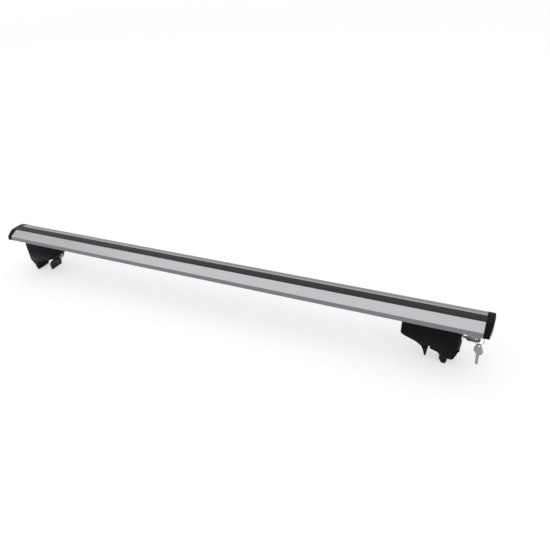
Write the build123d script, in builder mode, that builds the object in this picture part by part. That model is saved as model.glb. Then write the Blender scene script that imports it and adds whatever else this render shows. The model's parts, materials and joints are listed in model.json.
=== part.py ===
# Wing-section roof rack crossbar on two clamp feet for raised side rails.
# +X runs along the bar, +Y to the rear, +Z up; the part stands on its two outer claws.
import os
from build123d import *

os.makedirs("parts", exist_ok=True)

# ---- the bar -------------------------------------------------------------
bar_length = 1330.0        # length of the cut extrusion
foot_height = 103.0        # ground to the bar's underside
front_reach = 38.4         # slot centre to the front edge
rear_reach = 44.4          # slot centre to the rear edge
bar_height = 22.2          # underside to the top lips
front_face_lean = 2.9      # how far the low front face leans back
front_face_height = 10.7   # underside to the front crease
front_bulge = 0.6          # crown of the wide front band
rear_lip = 6.4             # flat strip behind the rubber
wall = 2.0                 # wall of the extrusion
corner_radius = 1.5        # front bottom corner

strip_width = 23.6         # rubber strip as seen from above
strip_flange = 1.2         # thickness of the strip's flange
strip_crown = 0.6          # how far the strip is domed
lip = 1.5                  # aluminium lip under the flange
top_mouth = 18.0           # mouth of the upper slot
top_channel_width = 28.0
top_channel_depth = 8.0
strip_barb = 1.4           # how far the strip's barb grips under a lip

low_mouth = 11.0           # mouth of the lower slot
low_lip = 2.0
low_channel_width = 23.0
low_channel_depth = 6.5

# ---- end caps ------------------------------------------------------------
cap_edge = 11.5            # thickness of a cap at its front and rear
cap_dome = 4.6             # extra thickness at the middle of the chord
cap_overlap = 0.5          # how far a cap stands out past the section
cap_prong = 14.0           # how far a cap's plugs reach into the bar
cap_fit = 0.15             # clearance round a plug

# ---- clamp feet, all along the bar from the foot's outer end -------------
foot_inset = 40.0          # bar end to the foot's outer end
foot_length = 125.0
foot_top_half = 15.0       # half width under the bar
foot_half = 27.5           # half width at the widest
foot_low_half = 20.6       # half width at the lower edge
rim_drop = 32.0            # bar underside to the widest rim
belly_drop = 50.0          # bar underside to where the sides start to taper
shell_drop = 87.0          # bar underside to the lower edge
shell_wall = 3.0
seat_gap = 0.1             # running gap between a foot and the bar
end_round = 16.0           # round of the two upright corners at the outer end
end_lean = 11.0            # how far the outer end leans in under the bar
lean_drop = 20.0           # bar underside to the foot of that lean

claw_start = 24.0          # outer face of the claw from the outer end
claw_end = 39.0            # rail face of the claw
claw_half = 19.0           # half width of claw and hook
left_claw_out = 14.0       # the left claw sits this much nearer its foot's outer end
left_out = 10.0            # the left foot stands this much nearer its end of the bar
left_open = 8.0            # the left hook is drawn back this much further
claw_top_drop = 70.0
pad_thickness = 2.5

ceiling_drop = 66.0        # bar underside to the ceiling over the rail
ceiling_pad_thickness = 7.0
ceiling_end = 61.0         # inner end of the ceiling block
ceiling_pad_end = 55.0

hook_front = 88.0          # rail side of the hook's slider
hook_nose = 68.0           # point of the hook nearest to the rail
hook_nose_drop = 75.0
hook_slope_run = 13.0      # slope from the nose back to the slider
hook_slope_rise = 12.5
hook_back = 97.0           # inner side of the hook's slider
hook_top_drop = 41.0
hook_fang_drop = 92.0      # bar underside to the hook's tip
cavity_roof_drop = 38.0

bolt_drop = 50.0           # bar underside to the clamp bolt
bolt_radius = 4.0
bolt_gap = 0.05            # running gap in the nut
bolt_bore_gap = 0.5        # running gap in the housing and hook
bolt_head_radius = 6.5
bolt_head_height = 8.0
bolt_socket = 6.0          # across flats of the socket
bolt_head_seat = 28.0      # wall the head bears on
bolt_end = 118.0
plate_thickness = 3.0
nut_height = 6.5
nut_flats = 13.0

# ---- slot bolts that hold a foot to the bar ------------------------------
slot_bolt_radius = 3.0
slot_head_length = 20.0
slot_head_height = 4.4
slot_nut_flats = 10.0
slot_nut_height = 5.0
slot_nut_drop = 24.0
slot_bolt_end_drop = 34.0
slot_bolt_near = 72.0      # two bolts in each foot
slot_bolt_far = 110.0

# ---- locking cover on the outer end --------------------------------------
cover_thickness = 7.0
cover_top_drop = 5.0
cover_low_drop = 57.0
cover_gap = 0.3
pin_drop = 60.0
pin_inset = 4.2
pin_radius = 1.5
pin_gap = 0.1
knuckle_radius = 2.6
ear_radius = 2.6
knuckle_half = 13.0
pin_half = 18.0
lock_drop = 28.0
lock_side = -9.0           # lock axis, measured from the slot centre
barrel_radius = 8.0
barrel_flange = 1.0
barrel_end = 22.0
plug_radius = 5.2
plug_gap = 0.05
keyway_width = 7.6
keyway_height = 2.6
cam_thickness = 2.5
cam_reach = 14.5
cam_half = 3.0

# ---- keys ----------------------------------------------------------------
key_thickness = 2.2
key_blade_width = 7.0
key_blade_length = 19.0
bow_width = 20.0
bow_length = 28.5
bow_start = 632.0 - 625.0  # outer end of the foot to the bow
key_hole_radius = 2.8
key_hole_from_end = 8.0
ring_radius = 9.5
wire_radius = 0.75
ring_sink = 6.3            # ring centre below the key in the lock
ring_turn = 25.0           # ring's plane, turned about the upright
spare_turn = -27.0         # spare key's plane, turned about the upright
spare_bow_width = 22.0
spare_bow_length = 27.0
spare_length = 55.0
spare_blade_width = 6.4
spare_hole_radius = 3.0
spare_hole_from_end = 5.0

# ---- places that follow from the sizes -----------------------------------
bar_half = bar_length / 2
deck = foot_height                         # height of the bar's underside
top = deck + bar_height
outer = bar_half - foot_inset              # outer end of the right foot
inner = outer - foot_length
strip_seat = top - strip_flange
channel_top = strip_seat - lip
channel_low = channel_top - top_channel_depth
low_top = deck + low_lip + low_channel_depth
block_half = top_channel_width / 2 + wall  # half width of the slot block
strip_half = strip_width / 2
lock_z = deck - lock_drop
bolt_z = deck - bolt_drop
pin_x = outer - pin_inset
pin_z = deck - pin_drop

# ---- section of the extrusion --------------------------------------------
crease_y = -(front_reach - front_face_lean)
mid_y = (crease_y - strip_half) / 2
mid_z = deck + (front_face_height + bar_height) / 2 + front_bulge
with BuildSketch(Plane.YZ) as outline:
    with BuildLine():
        front_up = Line((-front_reach, deck), (crease_y, deck + front_face_height))
        band = ThreePointArc(front_up @ 1, (mid_y, mid_z), (-strip_half, top))
        lips = Line(band @ 1, (strip_half + rear_lip, top))
        shoulder = ThreePointArc(lips @ 1, (rear_reach - 19.9, top - 0.84), (rear_reach - 14.0, top - 3.33))
        back = ThreePointArc(shoulder @ 1, (rear_reach - 7.5, deck + 0.643 * bar_height),
                             (rear_reach - 1.8, deck + 0.39 * bar_height))
        nose = ThreePointArc(back @ 1, (rear_reach - 0.3, deck + 0.22 * bar_height),
                             (rear_reach - 3.6, deck + 0.07 * bar_height))
        rise = Line(nose @ 1, (rear_reach - 14.0, deck))
        Line(rise @ 1, front_up @ 0)
    make_face()
    low_front = outline.vertices().sort_by(Axis.X)[0]
    fillet(low_front, corner_radius)

# Everything inside the wall, apart from the block that holds the two slots.
with BuildPart() as chambers:
    extrude(offset(outline.sketch, amount=-wall, mode=Mode.PRIVATE), amount=bar_half + 1, both=True)
    with Locations((0, 0, deck + bar_height / 2)):
        Box(3 * bar_length, 2 * block_half, 3 * bar_height, mode=Mode.SUBTRACT)

with BuildPart() as crossbar:
    extrude(outline.sketch, amount=bar_half, both=True)
    add(chambers.part, mode=Mode.SUBTRACT)
    with Locations((0, 0, top - strip_flange / 2 + 1)):
        Box(bar_length + 2, strip_width, strip_flange + 2, mode=Mode.SUBTRACT)
    with Locations((0, 0, top - (strip_flange + lip) / 2)):
        Box(bar_length + 2, top_mouth, strip_flange + lip + 1, mode=Mode.SUBTRACT)
    with Locations((0, 0, (channel_top + channel_low) / 2)):
        Box(bar_length + 2, top_channel_width, top_channel_depth, mode=Mode.SUBTRACT)
    with Locations((0, 0, deck + low_lip / 2)):
        Box(bar_length + 2, low_mouth, low_lip + 1, mode=Mode.SUBTRACT)
    with Locations((0, 0, deck + low_lip + low_channel_depth / 2)):
        Box(bar_length + 2, low_channel_width, low_channel_depth, mode=Mode.SUBTRACT)
crossbar.part.label = "crossbar"
export_step(crossbar.part, "parts/crossbar.step")

# Rubber strip: flange on the lips, stem in the mouth, barbs under the lips.
with BuildPart() as top_strip:
    with BuildSketch(Plane.YZ):
        with BuildLine():
            flange_low = Line((-strip_half, strip_seat), (-strip_half, top))
            dome = ThreePointArc(flange_low @ 1, (0, top + strip_crown), (strip_half, top))
            Line(dome @ 1, (strip_half, strip_seat))
            Line((strip_half, strip_seat), (-strip_half, strip_seat))
        make_face()
        with Locations((0, (strip_seat + channel_top) / 2)):
            Rectangle(top_mouth, lip + 0.01)
        with Locations((0, channel_top - 1.0)):
            Rectangle(top_mouth + 2 * strip_barb, 2.0)
        with Locations((0, channel_top - 1.3)):
            Rectangle(top_mouth - 5.0, 2.2, mode=Mode.SUBTRACT)
    extrude(amount=bar_half, both=True)
top_strip.part.label = "top_strip"
export_step(top_strip.part, "parts/top_strip.step")

# ---- end caps ------------------------------------------------------------
chord_half = (front_reach + rear_reach) / 2 + cap_overlap
chord_mid = (rear_reach - front_reach) / 2
dome_radius = (chord_half**2 + cap_dome**2) / (2 * cap_dome)
with BuildPart() as cap_plugs:
    extrude(offset(outline.sketch, amount=-(wall + cap_fit), mode=Mode.PRIVATE), amount=bar_half, dir=(1, 0, 0))
    extrude(offset(outline.sketch, amount=-(wall + cap_fit + 1.8), mode=Mode.PRIVATE),
            amount=bar_half - 2.0, dir=(1, 0, 0), mode=Mode.SUBTRACT)
    with Locations((bar_half / 2, 0, deck + bar_height / 2)):
        Box(bar_half + 2, 2 * (block_half + cap_fit), 3 * bar_height, mode=Mode.SUBTRACT)
    with Locations(((bar_half - cap_prong) / 2, 0, deck + bar_height / 2)):
        Box(bar_half - cap_prong, 4 * front_reach, 3 * bar_height, mode=Mode.SUBTRACT)

with BuildPart() as cap_right:
    extrude(offset(outline.sketch, amount=cap_overlap, mode=Mode.PRIVATE),
            amount=bar_half + cap_edge + cap_dome, dir=(1, 0, 0))
    with Locations((bar_half + cap_edge + cap_dome - dome_radius, chord_mid, deck + bar_height / 2)):
        Cylinder(dome_radius, 4 * bar_height, mode=Mode.INTERSECT)
    with Locations((0, 0, deck)):
        Box(bar_length, 4 * front_reach, 4 * bar_height, mode=Mode.SUBTRACT)
    add(cap_plugs.part)
cap_right.part.label = "cap_right"
export_step(cap_right.part, "parts/cap_right.step")

with BuildPart() as cap_left:
    mirror(cap_right.part, about=Plane.YZ)
cap_left.part.label = "cap_left"
export_step(cap_left.part, "parts/cap_left.step")

# ---- housing of the right foot -------------------------------------------
with BuildSketch(Plane.YZ) as housing_front:
    with BuildLine():
        Polyline(
            (-foot_top_half, deck - seat_gap), (-foot_top_half - 2, deck - 7), (-foot_half, deck - rim_drop),
            (-foot_half, deck - belly_drop), (-foot_low_half, deck - shell_drop - 1),
            (foot_low_half, deck - shell_drop - 1), (foot_half, deck - belly_drop),
            (foot_half, deck - rim_drop), (foot_top_half + 2, deck - 7), (foot_top_half, deck - seat_gap),
            close=True,
        )
    make_face()


# Plan of a foot, with the corners at its outer end rounded.
with BuildSketch() as foot_plan:
    with Locations((outer - foot_length, 0)):
        Rectangle(2 * foot_length, 2 * foot_half)
    fillet(foot_plan.vertices().sort_by(Axis.X)[-2:], end_round)


def end_slab(top_drop, low_drop, thickness, slant):
    # Slab just inside a foot's outer end, as thick as asked, from top_drop down to low_drop.
    lean = end_lean * (lean_drop - top_drop) / lean_drop
    inner_lean = end_lean * (lean_drop - top_drop - slant) / lean_drop
    with BuildPart() as slab:
        with BuildSketch(Plane.XZ):
            with BuildLine():
                Polyline(
                    (outer - lean, deck - top_drop), (outer, deck - lean_drop), (outer, deck - low_drop),
                    (outer - thickness, deck - low_drop), (outer - thickness, deck - lean_drop),
                    (outer - inner_lean - thickness, deck - top_drop - slant), close=True,
                )
            make_face()
        extrude(amount=2 * foot_half, both=True)
    return slab.part


def make_housing(claw_out):
    # Housing of a right foot whose claw sits claw_out nearer the outer end.
    jaw = claw_end - claw_out
    with BuildSketch(Plane.XZ) as housing_side:
        with BuildLine():
            Polyline(
                (outer - end_lean, deck - seat_gap), (outer, deck - lean_drop), (outer, deck - 46),
                (outer - 5, deck - 65),
                (outer - 12, deck - shell_drop + 3), (outer - 16, deck - shell_drop),
                (outer - jaw + 3, deck - shell_drop), (outer - jaw, deck - shell_drop + 4),
                (outer - jaw - 6, deck - ceiling_drop - 6), (outer - ceiling_end - 0.5, deck - ceiling_drop),
                (outer - ceiling_end - 1, deck - 58.5), (outer - 76, deck - 59.5), (outer - 86, deck - 56),
                (outer - 100, deck - 49.5), (outer - 113, deck - 44.5), (inner + 4, deck - 41),
                (inner, deck - 36), (inner, deck - seat_gap), close=True,
            )
        make_face()
    with BuildPart() as housing:
        extrude(housing_side.sketch, amount=foot_half + 1, both=True)
        extrude(housing_front.sketch, amount=bar_half, both=True, mode=Mode.INTERSECT)
        extrude(foot_plan.sketch, amount=deck, mode=Mode.INTERSECT)
        # room for the hook, open below and at the inner end
        room_end = outer - ceiling_end
        with BuildPart(mode=Mode.PRIVATE) as hook_room:
            extrude(housing_front.sketch, amount=bar_half, both=True)
            with Locations(((inner - 1 + room_end) / 2, 0, deck - cavity_roof_drop - 50)):
                Box(room_end - inner + 1, 2 * foot_half - 2 * shell_wall, 100, mode=Mode.INTERSECT)
            with BuildSketch(Plane.YZ) as room_face:
                with BuildLine():
                    Polyline(
                        (-foot_half + shell_wall, deck - cavity_roof_drop), (-foot_half + shell_wall, deck - belly_drop),
                        (-foot_low_half + shell_wall, deck - shell_drop - 60),
                        (foot_low_half - shell_wall, deck - shell_drop - 60),
                        (foot_half - shell_wall, deck - belly_drop), (foot_half - shell_wall, deck - cavity_roof_drop),
                        close=True,
                    )
                make_face()
            extrude(room_face.sketch, amount=bar_half, both=True, mode=Mode.INTERSECT)
        add(hook_room.part, mode=Mode.SUBTRACT)
        # recess behind the cover for lock and bolt head
        with BuildPart(mode=Mode.PRIVATE) as lock_room:
            extrude(offset(housing_front.sketch, amount=-shell_wall, mode=Mode.PRIVATE), amount=bar_half, both=True)
            with Locations((outer - bolt_head_seat / 2 + 1, 0, deck - 34)):
                Box(bolt_head_seat + 2, 2 * foot_half, 52, mode=Mode.INTERSECT)
            extrude(offset(foot_plan.sketch, amount=-shell_wall, mode=Mode.PRIVATE), amount=deck, mode=Mode.INTERSECT)
        add(lock_room.part, mode=Mode.SUBTRACT)
        # catch that the cam turns behind
        with Locations((outer - barrel_end + 2.5, lock_side, deck - 10.75)):
            Box(3, 12, 9.5)
        # seat of the cover
        add(end_slab(cover_top_drop, 64, cover_thickness + cover_gap, 0.0), mode=Mode.SUBTRACT)
        # ears for the cover's pin
        with Locations((pin_x, knuckle_half + 3.5, pin_z), (pin_x, -knuckle_half - 3.5, pin_z)):
            Cylinder(ear_radius, 5, rotation=(90, 0, 0))
        with Locations((pin_x - 1.3, knuckle_half + 3.5, pin_z - 2.1), (pin_x - 1.3, -knuckle_half - 3.5, pin_z - 2.1)):
            Box(2 * ear_radius + 2.6, 5, 4.2)
        with Locations((pin_x, 0, pin_z)):
            Cylinder(pin_radius, 2 * pin_half + 0.2, rotation=(90, 0, 0), mode=Mode.SUBTRACT)
        # bore for the clamp bolt
        with Locations((outer - bolt_head_seat - 25, 0, bolt_z)):
            Cylinder(bolt_radius + bolt_bore_gap, 80, rotation=(0, 90, 0), mode=Mode.SUBTRACT)
        # pockets and bores for the slot bolts
        for along in (slot_bolt_near, slot_bolt_far):
            with Locations((outer - along, 0, deck - slot_nut_drop - 10)):
                Cylinder(slot_nut_flats * 0.72, 20, mode=Mode.SUBTRACT)
            with Locations((outer - along, 0, deck - 15)):
                Cylinder(slot_bolt_radius + 0.3, 40, mode=Mode.SUBTRACT)
        # seat of the ceiling pad, open below
        with Locations((outer - (jaw + ceiling_end) / 2, 0, deck - ceiling_drop - 20)):
            Box(ceiling_end - jaw, 2 * claw_half - 4, 40, mode=Mode.SUBTRACT)
        # pocket for the claw
        with Locations((outer - (claw_start + claw_end) / 2 - 1 + claw_out, 0, deck - claw_top_drop - 20)):
            Box(claw_end - claw_start + 2, 2 * claw_half, 40, mode=Mode.SUBTRACT)
    return housing.part


with BuildPart() as housing_right:
    add(make_housing(0.0))
housing_right.part.label = "housing_right"
export_step(housing_right.part, "parts/housing_right.step")

with BuildPart() as housing_left:
    add(Pos(-left_out, 0, 0) * mirror(make_housing(left_claw_out), about=Plane.YZ, mode=Mode.PRIVATE))
housing_left.part.label = "housing_left"
export_step(housing_left.part, "parts/housing_left.step")

# ---- outer claw and its pads ---------------------------------------------
claw_tip = deck - foot_height
with BuildPart() as claw_right:
    with BuildSketch(Plane.XZ):
        with BuildLine():
            Polyline(
                (outer - claw_start, deck - claw_top_drop), (outer - claw_end, deck - claw_top_drop),
                (outer - claw_end, claw_tip + 5), (outer - claw_end + 4, claw_tip),
                (outer - claw_start - 4, claw_tip), (outer - claw_start - 1.5, claw_tip + 6),
                (outer - claw_start, deck - shell_drop), close=True,
            )
        make_face()
    extrude(amount=claw_half, both=True)
claw_right.part.label = "claw_right"
export_step(claw_right.part, "parts/claw_right.step")

with BuildPart() as claw_left:
    add(Pos(-left_out - left_claw_out, 0, 0) * mirror(claw_right.part, about=Plane.YZ, mode=Mode.PRIVATE))
claw_left.part.label = "claw_left"
export_step(claw_left.part, "parts/claw_left.step")

with BuildPart() as claw_pad_right:
    with Locations((outer - claw_end - pad_thickness / 2, 0, (deck - claw_top_drop - 5 + claw_tip + 6) / 2)):
        Box(pad_thickness, 2 * claw_half - 4, deck - claw_top_drop - 5 - claw_tip - 6)
    fillet(claw_pad_right.edges().filter_by(Axis.X), 2.0)
claw_pad_right.part.label = "claw_pad_right"
export_step(claw_pad_right.part, "parts/claw_pad_right.step")

with BuildPart() as claw_pad_left:
    add(Pos(-left_out - left_claw_out, 0, 0) * mirror(claw_pad_right.part, about=Plane.YZ, mode=Mode.PRIVATE))
claw_pad_left.part.label = "claw_pad_left"
export_step(claw_pad_left.part, "parts/claw_pad_left.step")

# ---- ceiling pad the rail seats against ----------------------------------
def make_ceiling_pad(claw_out):
    # Pad over the rail, from the claw's pad to the hook.
    pad_start = claw_end - claw_out + pad_thickness + 0.5
    with BuildPart() as pad:
        with Locations((outer - (pad_start + ceiling_pad_end) / 2, 0,
                        deck - ceiling_drop - ceiling_pad_thickness / 2)):
            Box(ceiling_pad_end - pad_start, 2 * claw_half - 4, ceiling_pad_thickness)
    return pad.part


with BuildPart() as ceiling_pad_right:
    add(make_ceiling_pad(0.0))
ceiling_pad_right.part.label = "ceiling_pad_right"
export_step(ceiling_pad_right.part, "parts/ceiling_pad_right.step")

with BuildPart() as ceiling_pad_left:
    add(Pos(-left_out, 0, 0) * mirror(make_ceiling_pad(left_claw_out), about=Plane.YZ, mode=Mode.PRIVATE))
ceiling_pad_left.part.label = "ceiling_pad_left"
export_step(ceiling_pad_left.part, "parts/ceiling_pad_left.step")

# ---- sliding hook, its pad, plate and nut --------------------------------
hook_tip = deck - hook_fang_drop
with BuildPart() as hook_right:
    with BuildSketch(Plane.XZ):
        with BuildLine():
            Polyline(
                (outer - hook_front, deck - hook_top_drop), (outer - hook_back, deck - hook_top_drop),
                (outer - hook_back, deck - 57), (outer - hook_back + 6, deck - 61.5),
                (outer - hook_nose - 13, deck - 68.5), (outer - hook_nose - 9.5, deck - 76),
                (outer - hook_nose - 5, hook_tip), (outer - hook_nose - 1.5, hook_tip),
                (outer - hook_nose, deck - hook_nose_drop),
                (outer - hook_nose - hook_slope_run, deck - hook_nose_drop + hook_slope_rise),
                (outer - hook_front, deck - 56), close=True,
            )
        make_face()
    extrude(amount=claw_half, both=True)
    with Locations((outer - hook_back, 0, bolt_z)):
        Cylinder(bolt_radius + bolt_bore_gap, 60, rotation=(0, 90, 0), mode=Mode.SUBTRACT)
hook_right.part.label = "hook_right"
export_step(hook_right.part, "parts/hook_right.step")

with BuildPart() as hook_left:
    add(Pos(left_open - left_out, 0, 0) * mirror(hook_right.part, about=Plane.YZ, mode=Mode.PRIVATE))
hook_left.part.label = "hook_left"
export_step(hook_left.part, "parts/hook_left.step")

slope_length = (hook_slope_run**2 + hook_slope_rise**2) ** 0.5
rise_x = pad_thickness * hook_slope_rise / slope_length
rise_z = pad_thickness * hook_slope_run / slope_length
pad_low = (outer - hook_nose - 0.06 * hook_slope_run, deck - hook_nose_drop + 0.06 * hook_slope_rise)
pad_high = (outer - hook_nose - 0.95 * hook_slope_run, deck - hook_nose_drop + 0.95 * hook_slope_rise)
with BuildPart() as hook_pad_right:
    with BuildSketch(Plane.XZ):
        with BuildLine():
            Polyline(pad_low, pad_high, (pad_high[0] + rise_x, pad_high[1] + rise_z),
                     (pad_low[0] + rise_x, pad_low[1] + rise_z), close=True)
        make_face()
    extrude(amount=claw_half - 2, both=True)
hook_pad_right.part.label = "hook_pad_right"
export_step(hook_pad_right.part, "parts/hook_pad_right.step")

with BuildPart() as hook_pad_left:
    add(Pos(left_open - left_out, 0, 0) * mirror(hook_pad_right.part, about=Plane.YZ, mode=Mode.PRIVATE))
hook_pad_left.part.label = "hook_pad_left"
export_step(hook_pad_left.part, "parts/hook_pad_left.step")

with BuildPart() as pull_plate_right:
    with Locations((outer - hook_back - plate_thickness / 2, 0, bolt_z)):
        Box(plate_thickness, 26, 17)
        Cylinder(bolt_radius + bolt_bore_gap, 20, rotation=(0, 90, 0), mode=Mode.SUBTRACT)
    fillet(pull_plate_right.edges().filter_by(Axis.X).group_by(SortBy.LENGTH)[0], 2.0)
pull_plate_right.part.label = "pull_plate_right"
export_step(pull_plate_right.part, "parts/pull_plate_right.step")

with BuildPart() as pull_plate_left:
    add(Pos(left_open - left_out, 0, 0) * mirror(pull_plate_right.part, about=Plane.YZ, mode=Mode.PRIVATE))
pull_plate_left.part.label = "pull_plate_left"
export_step(pull_plate_left.part, "parts/pull_plate_left.step")

hexagon = 3**0.5
with BuildPart() as hook_nut_right:
    with BuildSketch(Plane.YZ.offset(outer - hook_back - plate_thickness - nut_height)):
        with Locations((0, bolt_z)):
            RegularPolygon(nut_flats / hexagon, 6)
            Circle(bolt_radius + bolt_gap, mode=Mode.SUBTRACT)
    extrude(amount=nut_height)
hook_nut_right.part.label = "hook_nut_right"
export_step(hook_nut_right.part, "parts/hook_nut_right.step")

with BuildPart() as hook_nut_left:
    add(Pos(left_open - left_out, 0, 0) * mirror(hook_nut_right.part, about=Plane.YZ, mode=Mode.PRIVATE))
hook_nut_left.part.label = "hook_nut_left"
export_step(hook_nut_left.part, "parts/hook_nut_left.step")

# ---- clamp bolt, socket head at the outer end ----------------------------
with BuildPart() as clamp_bolt_right:
    with Locations((outer - (bolt_head_seat + bolt_end) / 2, 0, bolt_z)):
        Cylinder(bolt_radius, bolt_end - bolt_head_seat, rotation=(0, 90, 0))
    chamfer(clamp_bolt_right.edges().sort_by(Axis.X)[0], 0.8)
    with Locations((outer - bolt_head_seat + bolt_head_height / 2, 0, bolt_z)):
        Cylinder(bolt_head_radius, bolt_head_height, rotation=(0, 90, 0))
    with BuildSketch(Plane.YZ.offset(outer - bolt_head_seat + bolt_head_height)):
        with Locations((0, bolt_z)):
            RegularPolygon(bolt_socket / hexagon, 6)
    extrude(amount=-bolt_head_height / 2, mode=Mode.SUBTRACT)
clamp_bolt_right.part.label = "clamp_bolt_right"
export_step(clamp_bolt_right.part, "parts/clamp_bolt_right.step")

with BuildPart() as clamp_bolt_left:
    add(Pos(-left_out, 0, 0) * mirror(clamp_bolt_right.part, about=Plane.YZ, mode=Mode.PRIVATE))
clamp_bolt_left.part.label = "clamp_bolt_left"
export_step(clamp_bolt_left.part, "parts/clamp_bolt_left.step")

# ---- slot bolts and nuts that hold the foot to the bar -------------------
slot_head_low = deck + low_lip + seat_gap
with BuildPart() as slot_bolt_near_right:
    with Locations((outer - slot_bolt_near, 0, slot_head_low + slot_head_height / 2)):
        Box(slot_head_height * 3, slot_head_length, slot_head_height)
    with Locations((outer - slot_bolt_near, 0, (slot_head_low + deck - slot_bolt_end_drop) / 2)):
        Cylinder(slot_bolt_radius, slot_head_low - deck + slot_bolt_end_drop)
slot_bolt_near_right.part.label = "slot_bolt_near_right"
export_step(slot_bolt_near_right.part, "parts/slot_bolt_near_right.step")

with BuildPart() as slot_bolt_near_left:
    add(Pos(-left_out, 0, 0) * mirror(slot_bolt_near_right.part, about=Plane.YZ, mode=Mode.PRIVATE))
slot_bolt_near_left.part.label = "slot_bolt_near_left"
export_step(slot_bolt_near_left.part, "parts/slot_bolt_near_left.step")

with BuildPart() as slot_bolt_far_right:
    add(Pos(slot_bolt_near - slot_bolt_far, 0, 0) * slot_bolt_near_right.part)
slot_bolt_far_right.part.label = "slot_bolt_far_right"
export_step(slot_bolt_far_right.part, "parts/slot_bolt_far_right.step")

with BuildPart() as slot_bolt_far_left:
    add(Pos(-left_out, 0, 0) * mirror(slot_bolt_far_right.part, about=Plane.YZ, mode=Mode.PRIVATE))
slot_bolt_far_left.part.label = "slot_bolt_far_left"
export_step(slot_bolt_far_left.part, "parts/slot_bolt_far_left.step")

with BuildPart() as slot_nut_near_right:
    with BuildSketch(Plane.XY.offset(deck - slot_nut_drop - slot_nut_height)):
        with Locations((outer - slot_bolt_near, 0)):
            RegularPolygon(slot_nut_flats / hexagon, 6)
            Circle(slot_bolt_radius, mode=Mode.SUBTRACT)
    extrude(amount=slot_nut_height)
slot_nut_near_right.part.label = "slot_nut_near_right"
export_step(slot_nut_near_right.part, "parts/slot_nut_near_right.step")

with BuildPart() as slot_nut_near_left:
    add(Pos(-left_out, 0, 0) * mirror(slot_nut_near_right.part, about=Plane.YZ, mode=Mode.PRIVATE))
slot_nut_near_left.part.label = "slot_nut_near_left"
export_step(slot_nut_near_left.part, "parts/slot_nut_near_left.step")

with BuildPart() as slot_nut_far_right:
    add(Pos(slot_bolt_near - slot_bolt_far, 0, 0) * slot_nut_near_right.part)
slot_nut_far_right.part.label = "slot_nut_far_right"
export_step(slot_nut_far_right.part, "parts/slot_nut_far_right.step")

with BuildPart() as slot_nut_far_left:
    add(Pos(-left_out, 0, 0) * mirror(slot_nut_far_right.part, about=Plane.YZ, mode=Mode.PRIVATE))
slot_nut_far_left.part.label = "slot_nut_far_left"
export_step(slot_nut_far_left.part, "parts/slot_nut_far_left.step")

# ---- locking cover, its pin and lock -------------------------------------
with BuildPart() as cover_right:
    extrude(housing_front.sketch, amount=bar_half, both=True)
    add(end_slab(cover_top_drop + cover_gap, cover_low_drop, cover_thickness, 1.9), mode=Mode.INTERSECT)
    extrude(foot_plan.sketch, amount=deck, mode=Mode.INTERSECT)
    with BuildSketch(Plane.XZ):
        with BuildLine():
            Polyline((outer, deck - 46), (outer + 2, deck - 46), (outer + 2, deck - 65), (outer - 5, deck - 65),
                     close=True)
        make_face()
    extrude(amount=foot_half + 5, both=True, mode=Mode.SUBTRACT)
    with Locations((outer - cover_thickness - 3, 0, deck - 32)):
        Box(8, 2 * foot_low_half - 6, 40, mode=Mode.SUBTRACT)
    with Locations((pin_x, 0, pin_z)):
        Cylinder(knuckle_radius, 2 * knuckle_half, rotation=(90, 0, 0))
    with Locations((pin_x, 0, pin_z + 2.5)):
        Box(2 * 2.4, 2 * knuckle_half, 5)
    with Locations((pin_x, 0, pin_z)):
        Cylinder(pin_radius + pin_gap, 60, rotation=(90, 0, 0), mode=Mode.SUBTRACT)
    with Locations((outer - 5, lock_side, lock_z)):
        Cylinder(barrel_radius + 2, 5.5, rotation=(0, 90, 0))
    with Locations((outer, lock_side, lock_z)):
        Cylinder(barrel_radius, 60, rotation=(0, 90, 0), mode=Mode.SUBTRACT)
cover_right.part.label = "cover_right"
export_step(cover_right.part, "parts/cover_right.step")

with BuildPart() as cover_left:
    add(Pos(-left_out, 0, 0) * mirror(cover_right.part, about=Plane.YZ, mode=Mode.PRIVATE))
cover_left.part.label = "cover_left"
export_step(cover_left.part, "parts/cover_left.step")

with BuildPart() as cover_pin_right:
    with Locations((pin_x, 0, pin_z)):
        Cylinder(pin_radius, 2 * pin_half, rotation=(90, 0, 0))
cover_pin_right.part.label = "cover_pin_right"
export_step(cover_pin_right.part, "parts/cover_pin_right.step")

with BuildPart() as cover_pin_left:
    add(Pos(-left_out, 0, 0) * mirror(cover_pin_right.part, about=Plane.YZ, mode=Mode.PRIVATE))
cover_pin_left.part.label = "cover_pin_left"
export_step(cover_pin_left.part, "parts/cover_pin_left.step")

with BuildPart() as barrel_right:
    with Locations((outer + (barrel_flange - barrel_end) / 2, lock_side, lock_z)):
        Cylinder(barrel_radius, barrel_flange + barrel_end, rotation=(0, 90, 0))
        Cylinder(plug_radius + plug_gap, barrel_end + 5, rotation=(0, 90, 0), mode=Mode.SUBTRACT)
barrel_right.part.label = "barrel_right"
export_step(barrel_right.part, "parts/barrel_right.step")

with BuildPart() as barrel_left:
    add(Pos(-left_out, 0, 0) * mirror(barrel_right.part, about=Plane.YZ, mode=Mode.PRIVATE))
barrel_left.part.label = "barrel_left"
export_step(barrel_left.part, "parts/barrel_left.step")

with BuildPart() as plug_right:
    with Locations((outer + (barrel_flange - barrel_end - cover_gap) / 2, lock_side, lock_z)):
        Cylinder(plug_radius, barrel_flange + barrel_end + cover_gap, rotation=(0, 90, 0))
    with Locations((outer + barrel_flange, lock_side, lock_z)):
        Box(2 * (key_blade_length + 1.5), keyway_width, keyway_height, mode=Mode.SUBTRACT)
plug_right.part.label = "plug_right"
export_step(plug_right.part, "parts/plug_right.step")

with BuildPart() as plug_left:
    add(Pos(-left_out, 0, 0) * mirror(plug_right.part, about=Plane.YZ, mode=Mode.PRIVATE))
plug_left.part.label = "plug_left"
export_step(plug_left.part, "parts/plug_left.step")

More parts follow.
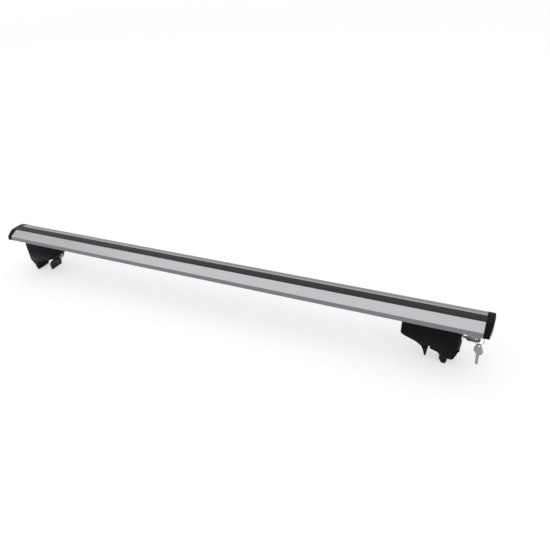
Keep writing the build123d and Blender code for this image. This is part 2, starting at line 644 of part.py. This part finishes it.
with BuildPart() as cam_right:
    with Locations((outer - barrel_end - cover_gap - cam_thickness / 2, lock_side, lock_z)):
        Cylinder(plug_radius, cam_thickness, rotation=(0, 90, 0))
    with Locations((outer - barrel_end - cover_gap - cam_thickness / 2, lock_side + cam_reach / 2, lock_z)):
        Box(cam_thickness, cam_reach, 2 * cam_half)
cam_right.part.label = "cam_right"
export_step(cam_right.part, "parts/cam_right.step")

with BuildPart() as cam_left:
    add(Pos(-left_out, 0, 0) * mirror(cam_right.part, about=Plane.YZ, mode=Mode.PRIVATE))
cam_left.part.label = "cam_left"
export_step(cam_left.part, "parts/cam_left.step")

# ---- key in the right lock, lying flat -----------------------------------
bow_x = outer + bow_start
bow_end = bow_x + bow_length
with BuildPart() as lock_key:
    with BuildSketch(Plane.XY.offset(lock_z - key_thickness / 2)):
        with Locations(((bow_x + outer + barrel_flange - key_blade_length) / 2, lock_side)):
            Rectangle(bow_x - outer - barrel_flange + key_blade_length, key_blade_width)
        with BuildLine():
            Polyline(
                (bow_x - 1, lock_side - key_blade_width / 2), (bow_x + 5, lock_side - bow_width / 2),
                (bow_end - 5, lock_side - bow_width / 2), (bow_end, lock_side - bow_width / 2 + 5),
                (bow_end, lock_side + bow_width / 2 - 5), (bow_end - 5, lock_side + bow_width / 2),
                (bow_x + 5, lock_side + bow_width / 2), (bow_x - 1, lock_side + key_blade_width / 2), close=True,
            )
        make_face()
        with Locations((bow_end - key_hole_from_end, lock_side)):
            Circle(key_hole_radius, mode=Mode.SUBTRACT)
    extrude(amount=key_thickness)
lock_key.part.label = "lock_key"
export_step(lock_key.part, "parts/lock_key.step")

# ---- ring through the key, and the spare key on it -----------------------
ring_reach = (ring_radius**2 - ring_sink**2) ** 0.5
hole_x = bow_end - key_hole_from_end
turn = Rot(0, 0, ring_turn)
ring_place = Pos(hole_x, lock_side, lock_z - ring_sink) * turn * Pos(ring_reach, 0, 0)
with BuildPart() as key_ring:
    with Locations(ring_place * Rot(90, 0, 0)):
        Torus(ring_radius, wire_radius)
key_ring.part.label = "key_ring"
export_step(key_ring.part, "parts/key_ring.step")

with BuildPart() as spare_key:
    with BuildSketch(Plane.XZ) as spare_face:
        with BuildLine():
            Polyline(
                (-3, 5), (3, 5), (6.5, 0), (spare_bow_width / 2, -11.5), (spare_bow_width / 2 - 1.5, -17),
                (6, 5 - spare_bow_length), (spare_blade_width / 2, 5 - spare_bow_length),
                (spare_blade_width / 2, 7 - spare_length), (0.5, 5 - spare_length),
                (-spare_blade_width / 2, 8 - spare_length), (-spare_blade_width / 2, 5 - spare_bow_length),
                (-6, 5 - spare_bow_length), (-spare_bow_width / 2 + 1.5, -17), (-spare_bow_width / 2, -11.5),
                (-6.5, 0), close=True,
            )
        make_face()
        Circle(spare_hole_radius, mode=Mode.SUBTRACT)
        with Locations((-spare_blade_width / 2, 10 - spare_length), (-spare_blade_width / 2, 15 - spare_length),
                       (-spare_blade_width / 2, 19.5 - spare_length)):
            Rectangle(2.2, 2.0, rotation=45, mode=Mode.SUBTRACT)
    extrude(amount=key_thickness / 2, both=True)
spare_place = ring_place * Pos(0, 0, -ring_radius - 1.7) * Rot(0, 0, spare_turn - ring_turn)
with BuildPart() as hung_key:
    add(spare_place * spare_key.part)
hung_key.part.label = "spare_key"
export_step(hung_key.part, "parts/spare_key.step")
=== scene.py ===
import json
import math
import bmesh
import bpy
import numpy as np
from mathutils import Matrix, Vector


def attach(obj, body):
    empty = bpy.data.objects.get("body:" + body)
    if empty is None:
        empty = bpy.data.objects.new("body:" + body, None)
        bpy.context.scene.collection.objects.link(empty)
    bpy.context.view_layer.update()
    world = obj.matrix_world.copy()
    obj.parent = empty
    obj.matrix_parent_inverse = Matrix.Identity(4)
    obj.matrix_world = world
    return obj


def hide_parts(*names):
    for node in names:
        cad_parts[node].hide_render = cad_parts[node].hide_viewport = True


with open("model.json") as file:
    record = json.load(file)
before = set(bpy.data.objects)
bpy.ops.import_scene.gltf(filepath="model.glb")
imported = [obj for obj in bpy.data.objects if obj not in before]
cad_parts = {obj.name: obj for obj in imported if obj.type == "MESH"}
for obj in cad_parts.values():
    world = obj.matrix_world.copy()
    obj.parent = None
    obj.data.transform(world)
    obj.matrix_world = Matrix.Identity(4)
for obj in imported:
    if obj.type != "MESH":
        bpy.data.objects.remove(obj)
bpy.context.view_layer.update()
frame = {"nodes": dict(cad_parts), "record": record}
nodes = frame["nodes"]


print("frame loaded:", len(nodes), "nodes")


# Shader helpers.
def newGroup(name, inputs, outputs):
    group = bpy.data.node_groups.new(name, "ShaderNodeTree")
    for label, value in inputs:
        socket = group.interface.new_socket(name=label, in_out="INPUT", socket_type="NodeSocketFloat")
        socket.default_value = value
    for label in outputs:
        group.interface.new_socket(name=label, in_out="OUTPUT", socket_type="NodeSocketFloat")
    start = group.nodes.new("NodeGroupInput")
    end = group.nodes.new("NodeGroupOutput")
    return group, start, end


def put(tree, kind, **settings):
    node = tree.nodes.new(kind)
    for key, value in settings.items():
        setattr(node, key, value)
    return node


def mathNode(tree, operation, a, b=None, c=None):
    node = put(tree, "ShaderNodeMath", operation=operation)
    for socket, value in zip(node.inputs, (a, b, c)):
        if value is None:
            continue
        if isinstance(value, (int, float)):
            socket.default_value = value
        else:
            tree.links.new(value, socket)
    return node.outputs[0]


def colourMix(tree, first, second, factor):
    # Mix of two colours, each given as a plain colour or as a socket.
    mix = put(tree, "ShaderNodeMix", data_type="RGBA")
    sockets = [s for s in mix.inputs if s.type == "RGBA"]
    for socket, colour in zip(sockets, (first, second)):
        if isinstance(colour, tuple):
            socket.default_value = (*colour, 1)
        else:
            tree.links.new(colour, socket)
    tree.links.new(factor, mix.inputs[0])
    return next(s for s in mix.outputs if s.type == "RGBA")


def startMaterial(name):
    material = bpy.data.materials.new(name)
    material.use_nodes = True
    tree = material.node_tree
    return material, tree, tree.nodes["Principled BSDF"]


def addBump(tree, shader, height, strength, distance):
    bump = put(tree, "ShaderNodeBump")
    bump.inputs["Strength"].default_value = strength
    bump.inputs["Distance"].default_value = distance
    tree.links.new(height, bump.inputs["Height"])
    tree.links.new(bump.outputs[0], shader.inputs["Normal"])


# Noise behind the two surface patterns. Clouds are repeats per metre.
drawnNoise = dict(detail=4.0, rough=0.6, clouds=9.0, cloudDetail=3.0)
mouldNoise = dict(detail=2.0, clouds=34.0, cloudDetail=4.0)


def addClouds(group, coords, noise, end):
    # Broad soft noise, the same in every direction.
    cloud = put(group, "ShaderNodeTexNoise")
    cloud.inputs["Scale"].default_value = noise["clouds"]
    cloud.inputs["Detail"].default_value = noise["cloudDetail"]
    group.links.new(coords.outputs["Object"], cloud.inputs["Vector"])
    group.links.new(cloud.outputs[0], end.inputs["Cloud"])


def makeDrawnGrain():
    # Streaks along X: noise stretched by along and across, centred on zero and scaled by amount.
    group, start, end = newGroup("drawnGrain", [("Along", 5.0), ("Across", 2000.0), ("Amount", 0.1)],
                                 ["Streak", "Height", "Cloud"])
    coords = put(group, "ShaderNodeTexCoord")
    scale = put(group, "ShaderNodeCombineXYZ")
    group.links.new(start.outputs["Along"], scale.inputs[0])
    group.links.new(start.outputs["Across"], scale.inputs[1])
    group.links.new(start.outputs["Across"], scale.inputs[2])
    stretched = put(group, "ShaderNodeVectorMath", operation="MULTIPLY")
    group.links.new(coords.outputs["Object"], stretched.inputs[0])
    group.links.new(scale.outputs[0], stretched.inputs[1])
    noise = put(group, "ShaderNodeTexNoise")
    noise.inputs["Scale"].default_value = 1.0
    noise.inputs["Detail"].default_value = drawnNoise["detail"]
    noise.inputs["Roughness"].default_value = drawnNoise["rough"]
    group.links.new(stretched.outputs[0], noise.inputs["Vector"])
    centred = mathNode(group, "SUBTRACT", noise.outputs[0], 0.5)
    streak = mathNode(group, "MULTIPLY", centred, start.outputs["Amount"])
    group.links.new(streak, end.inputs["Streak"])
    group.links.new(noise.outputs[0], end.inputs["Height"])
    addClouds(group, coords, drawnNoise, end)
    return group


def makeMouldGrain():
    # Even speckle of a moulded or coated face: fine noise for height, clouds for changes of sheen.
    group, start, end = newGroup("mouldGrain", [("Grain", 1500.0)], ["Height", "Cloud"])
    coords = put(group, "ShaderNodeTexCoord")
    fine = put(group, "ShaderNodeTexNoise")
    fine.inputs["Detail"].default_value = mouldNoise["detail"]
    group.links.new(coords.outputs["Object"], fine.inputs["Vector"])
    group.links.new(start.outputs["Grain"], fine.inputs["Scale"])
    group.links.new(fine.outputs[0], end.inputs["Height"])
    addClouds(group, coords, mouldNoise, end)
    return group


drawnGrain = makeDrawnGrain()
mouldGrain = makeMouldGrain()

# How grain turns into colour, roughness and height. Bump distances are metres.
# The flank dulling darkens the bar's painted-shade flank colour.
metalLook = dict(streakTint=3.0, cloudTint=0.5, leastTint=0.25, dull=0.84, dullPaintedShadeFlank=0.92,
                 cloudRough=0.08, bumpDistance=0.0002)
mouldLook = dict(pale=1.35, cloudRough=0.12, coatRough=0.12, ribHeight=0.8, bumpDistance=0.00012)


def scaled(colour, factor):
    return tuple(c * factor for c in colour)


def paintedShadeSplit(tree, finish):
    # 1 on the wide brushed band and 0 on both flanks, where the darker colour is painted shade: a step at
    # the front crease, a soft fall behind the strip.
    coords = put(tree, "ShaderNodeTexCoord")
    place = put(tree, "ShaderNodeSeparateXYZ")
    tree.links.new(coords.outputs["Object"], place.inputs[0])
    aboveCrease = mathNode(tree, "GREATER_THAN", place.outputs[2], finish["frontCrease"])
    rear = put(tree, "ShaderNodeMapRange")
    rear.interpolation_type = "SMOOTHSTEP"
    for label, value in (("From Min", finish["rearStart"]), ("From Max", finish["rearEnd"]),
                         ("To Min", 1.0), ("To Max", 0.0)):
        rear.inputs[label].default_value = value
    tree.links.new(place.outputs[1], rear.inputs["Value"])
    return mathNode(tree, "MULTIPLY", aboveCrease, rear.outputs[0])


def cloudedRoughness(tree, cloud, rough, spread):
    # Roughness that the clouds move by half of spread to either side.
    return mathNode(tree, "MULTIPLY_ADD", cloud, spread, rough - spread / 2)


def makeMetal(name, finish):
    # Metal with drawn streaks in colour, roughness and height. With a flank colour, the bar's low front
    # and rear flanks get a darker painted shade.
    material, tree, shader = startMaterial(name)
    grain = put(tree, "ShaderNodeGroup", node_tree=drawnGrain)
    grain.inputs["Along"].default_value = finish["along"]
    grain.inputs["Across"].default_value = finish["across"]
    grain.inputs["Amount"].default_value = finish["streak"]
    streak, cloud = grain.outputs["Streak"], grain.outputs["Cloud"]
    tint = mathNode(tree, "ADD", mathNode(tree, "MULTIPLY", streak, metalLook["streakTint"]),
                    mathNode(tree, "MULTIPLY_ADD", cloud, metalLook["cloudTint"], metalLook["leastTint"]))
    colour = finish["colour"]
    brushed = colourMix(tree, scaled(colour, metalLook["dull"]), colour, tint)
    # Painted shade: the low front and rear flanks take a darker colour than the wide band, standing in
    # for their shade.
    if "paintedShadeFlank" in finish:
        paintedShadeFlank = finish["paintedShadeFlank"]
        paintedShadeColour = colourMix(tree, scaled(paintedShadeFlank, metalLook["dullPaintedShadeFlank"]), paintedShadeFlank, tint)
        brushed = colourMix(tree, paintedShadeColour, brushed, paintedShadeSplit(tree, finish))
    tree.links.new(brushed, shader.inputs["Base Color"])
    clouded = cloudedRoughness(tree, cloud, finish["rough"], metalLook["cloudRough"])
    tree.links.new(mathNode(tree, "ADD", clouded, streak), shader.inputs["Roughness"])
    shader.inputs["Metallic"].default_value = 1.0
    addBump(tree, shader, grain.outputs["Height"], finish["bump"], metalLook["bumpDistance"])
    return material


def makeMoulded(name, finish):
    # Dark plastic, rubber or coat: speckled height, clouded colour and roughness. With a rib pitch,
    # a sine wave over Y adds lengthwise ribs.
    material, tree, shader = startMaterial(name)
    grain = put(tree, "ShaderNodeGroup", node_tree=mouldGrain)
    grain.inputs["Grain"].default_value = finish["grain"]
    cloud, height = grain.outputs["Cloud"], grain.outputs["Height"]
    colour = finish["colour"]
    tree.links.new(colourMix(tree, colour, scaled(colour, mouldLook["pale"]), cloud),
                   shader.inputs["Base Color"])
    tree.links.new(cloudedRoughness(tree, cloud, finish["rough"], mouldLook["cloudRough"]),
                   shader.inputs["Roughness"])
    shader.inputs["Coat Weight"].default_value = finish["coat"]
    shader.inputs["Coat Roughness"].default_value = mouldLook["coatRough"]
    shader.inputs["Specular IOR Level"].default_value = finish["shine"]
    if "ribPitch" in finish:
        coords = put(tree, "ShaderNodeTexCoord")
        place = put(tree, "ShaderNodeSeparateXYZ")
        tree.links.new(coords.outputs["Object"], place.inputs[0])
        turns = mathNode(tree, "MULTIPLY", place.outputs[1], 2 * math.pi / finish["ribPitch"])
        wave = mathNode(tree, "SINE", turns)
        height = mathNode(tree, "MULTIPLY_ADD", wave, mouldLook["ribHeight"], height)
    addBump(tree, shader, height, finish["bump"], mouldLook["bumpDistance"])
    return material


# Finishes. Creases, rear limits and rib pitch are metres; along, across and grain are repeats
# per metre on Object coordinates.
# The bar's flank colour is painted shade on its low front and rear flanks, bounded by the front crease
# and the rear limits.
barMetal = dict(colour=(0.480, 0.484, 0.493), paintedShadeFlank=(0.200, 0.214, 0.233), rough=0.31,
                along=2.5, across=900.0, streak=0.24, bump=0.08,
                frontCrease=0.1137, rearStart=0.009, rearEnd=0.022)
zincSteel = dict(colour=(0.42, 0.425, 0.435), rough=0.34, along=260.0, across=900.0,
                 streak=0.10, bump=0.06)
lockMetal = dict(colour=(0.74, 0.74, 0.75), rough=0.20, along=900.0, across=900.0,
                 streak=0.05, bump=0.02)
keyMetal = dict(colour=(0.365, 0.362, 0.355), rough=0.30, along=700.0, across=2200.0,
                streak=0.12, bump=0.06)
stripRubber = dict(colour=(0.013, 0.013, 0.013), rough=0.50, shine=0.20, coat=0.0,
                   grain=1500.0, bump=0.25, ribPitch=0.0011)
padRubber = dict(colour=(0.012, 0.012, 0.0125), rough=0.68, shine=0.1, coat=0.0,
                 grain=1200.0, bump=0.3)
capPlastic = dict(colour=(0.0015, 0.0015, 0.0018), rough=0.16, shine=0.09, coat=0.0,
                  grain=260.0, bump=0.05)
housingPlastic = dict(colour=(0.0036, 0.0036, 0.0039), rough=0.30, shine=0.075, coat=0.0,
                      grain=2300.0, bump=0.22)
powderCoat = dict(colour=(0.0042, 0.0042, 0.0046), rough=0.30, shine=0.11, coat=0.02,
                  grain=900.0, bump=0.32)
finishes = {
    "anodised_bar": makeMetal("anodisedBar", barMetal),
    "strip_rubber": makeMoulded("stripRubber", stripRubber),
    "cap_plastic": makeMoulded("capPlastic", capPlastic),
    "housing_plastic": makeMoulded("housingPlastic", housingPlastic),
    "claw_coated": makeMoulded("powderCoat", powderCoat),
    "pad_rubber": makeMoulded("padRubber", padRubber),
    "zinc_steel": makeMetal("zincSteel", zincSteel),
    "lock_metal": makeMetal("lockMetal", lockMetal),
    "key_metal": makeMetal("keyMetal", keyMetal),
}
print("finishes made:", len(finishes))

slotOf = {sub["node"]: sub["material_slot"] for sub in frame["record"]["subparts"]}
for name, thing in nodes.items():
    thing.data.materials.clear()
    thing.data.materials.append(finishes[slotOf[name]])

# Nodes shown with rounded edges: width of the round in metres.
softEdges = {
    "crossbar": 0.0004, "cap_right": 0.0011, "cap_left": 0.0011,
    "housing_right": 0.0013, "housing_left": 0.0013, "cover_right": 0.0008, "cover_left": 0.0008,
    "claw_right": 0.0008, "claw_left": 0.0008, "hook_right": 0.0008, "hook_left": 0.0008,
    "lock_key": 0.0003, "spare_key": 0.0003,
}
# How they are made: angles are degrees, mergeDistance is metres.
edgeRound = dict(mergeDistance=1e-6, flatAngle=1.0, sharpAngle=28, segments=3)
bodyOf = {name: body for body, names in frame["record"]["behaviour"]["bodies"].items() for name in names}


def softened(name, width):
    # The node's own surface, merged, with its sharp corners rounded by a bevel of that width.
    mesh = nodes[name].data.copy()
    shape = bmesh.new()
    shape.from_mesh(mesh)
    bmesh.ops.remove_doubles(shape, verts=shape.verts, dist=edgeRound["mergeDistance"])
    bmesh.ops.dissolve_limit(shape, angle_limit=math.radians(edgeRound["flatAngle"]),
                             verts=shape.verts, edges=shape.edges)
    shape.to_mesh(mesh)
    shape.free()
    mesh.polygons.foreach_set("use_smooth", np.ones(len(mesh.polygons), bool))
    piece = bpy.data.objects.new("soft_" + name, mesh)
    bpy.context.scene.collection.objects.link(piece)
    bevel = piece.modifiers.new("roundedEdges", "BEVEL")
    bevel.width = width
    bevel.segments = edgeRound["segments"]
    bevel.limit_method = "ANGLE"
    bevel.angle_limit = math.radians(edgeRound["sharpAngle"])
    bevel.use_clamp_overlap = True
    bevel.harden_normals = True
    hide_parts(name)
    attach(piece, bodyOf[name])


for name, width in softEdges.items():
    softened(name, width)
print("rounded edges on:", len(softEdges))

white = (1, 1, 1, 1)


def seenMask(tree):
    # 1 for what the camera, a reflection or a glass shows, 0 for the light that falls on the object.
    path = put(tree, "ShaderNodeLightPath")
    either = mathNode(tree, "MAXIMUM", path.outputs["Is Camera Ray"], path.outputs["Is Glossy Ray"])
    return mathNode(tree, "MAXIMUM", either, path.outputs["Is Transmission Ray"])


# Floor, a little under the feet, with a glow that only shows where it is seen.
floorPlate = dict(size=14.0, sunk=0.0002, colour=(0.60, 0.60, 0.60), rough=0.85, glow=0.52)


def makeFloor():
    # Flat square: four corners at half the size from the middle.
    half = floorPlate["size"] / 2
    mesh = bpy.data.meshes.new("floor")
    corners = np.array([(-half, -half), (half, -half), (half, half), (-half, half)])
    points = np.column_stack([corners, np.full(4, -floorPlate["sunk"])])
    mesh.from_pydata(points.tolist(), [], [(0, 1, 2, 3)])
    floor = bpy.data.objects.new("floor", mesh)
    bpy.context.scene.collection.objects.link(floor)
    material, tree, shader = startMaterial("paleFloor")
    shader.inputs["Base Color"].default_value = (*floorPlate["colour"], 1)
    shader.inputs["Roughness"].default_value = floorPlate["rough"]
    shader.inputs["Emission Color"].default_value = white
    glow = mathNode(tree, "MULTIPLY", seenMask(tree), floorPlate["glow"])
    tree.links.new(glow, shader.inputs["Emission Strength"])
    mesh.materials.append(material)


# Area lamps: places and sizes in metres, power in watts.
lamps = {
    "overhead": dict(place=(-0.6, -0.6, 3.2), target=(-0.6, -0.6, 0.0), size=(7.0, 5.0), power=27.0),
    "rightSide": dict(place=(2.6, -1.6, 1.5), target=(0.6, 0.0, 0.08), size=(1.0, 1.4), power=4.0),
}


def makeLamps():
    for name, lamp in lamps.items():
        light = bpy.data.lights.new(name, "AREA")
        light.shape = "RECTANGLE"
        light.size, light.size_y = lamp["size"]
        light.energy = lamp["power"]
        thing = bpy.data.objects.new(name, light)
        bpy.context.scene.collection.objects.link(thing)
        thing.location = lamp["place"]
        direction = Vector(lamp["target"]) - Vector(lamp["place"])
        thing.rotation_euler = direction.to_track_quat("-Z", "Y").to_euler()


# White surroundings: the light they throw, and how bright they are where they are seen.
surround = dict(light=0.70, seen=1.0)


def makeSurround():
    # Strength is light plus the mask times what seen has over light.
    world = bpy.data.worlds.new("studio")
    bpy.context.scene.world = world
    world.use_nodes = True
    tree = world.node_tree
    back = tree.nodes["Background"]
    back.inputs[0].default_value = white
    strength = mathNode(tree, "MULTIPLY_ADD", seenMask(tree), surround["seen"] - surround["light"],
                        surround["light"])
    tree.links.new(strength, back.inputs[1])


# Camera fitted to the photo: its place in metres and its own three axes.
photoView = dict(lens=34.70, sensor=36.0, nearest=0.01, place=(0.69087, -0.93506, 0.79916),
                 right=(0.9006, 0.4283, -0.0738), up=(-0.1729, 0.5088, 0.8433),
                 back=(0.3987, -0.7468, 0.5323))


def makeCamera():
    camera = bpy.data.cameras.new("photoView")
    camera.lens = photoView["lens"]
    camera.sensor_width = photoView["sensor"]
    camera.sensor_fit = "HORIZONTAL"
    camera.clip_start = photoView["nearest"]
    thing = bpy.data.objects.new("photoView", camera)
    bpy.context.scene.collection.objects.link(thing)
    turn = Matrix([photoView["right"], photoView["up"], photoView["back"]]).transposed().to_4x4()
    thing.matrix_world = Matrix.Translation(photoView["place"]) @ turn
    bpy.context.scene.camera = thing


makeFloor()
makeLamps()
makeSurround()
makeCamera()
bpy.context.scene.view_settings.view_transform = "Standard"
print("stage, lamps and camera set")
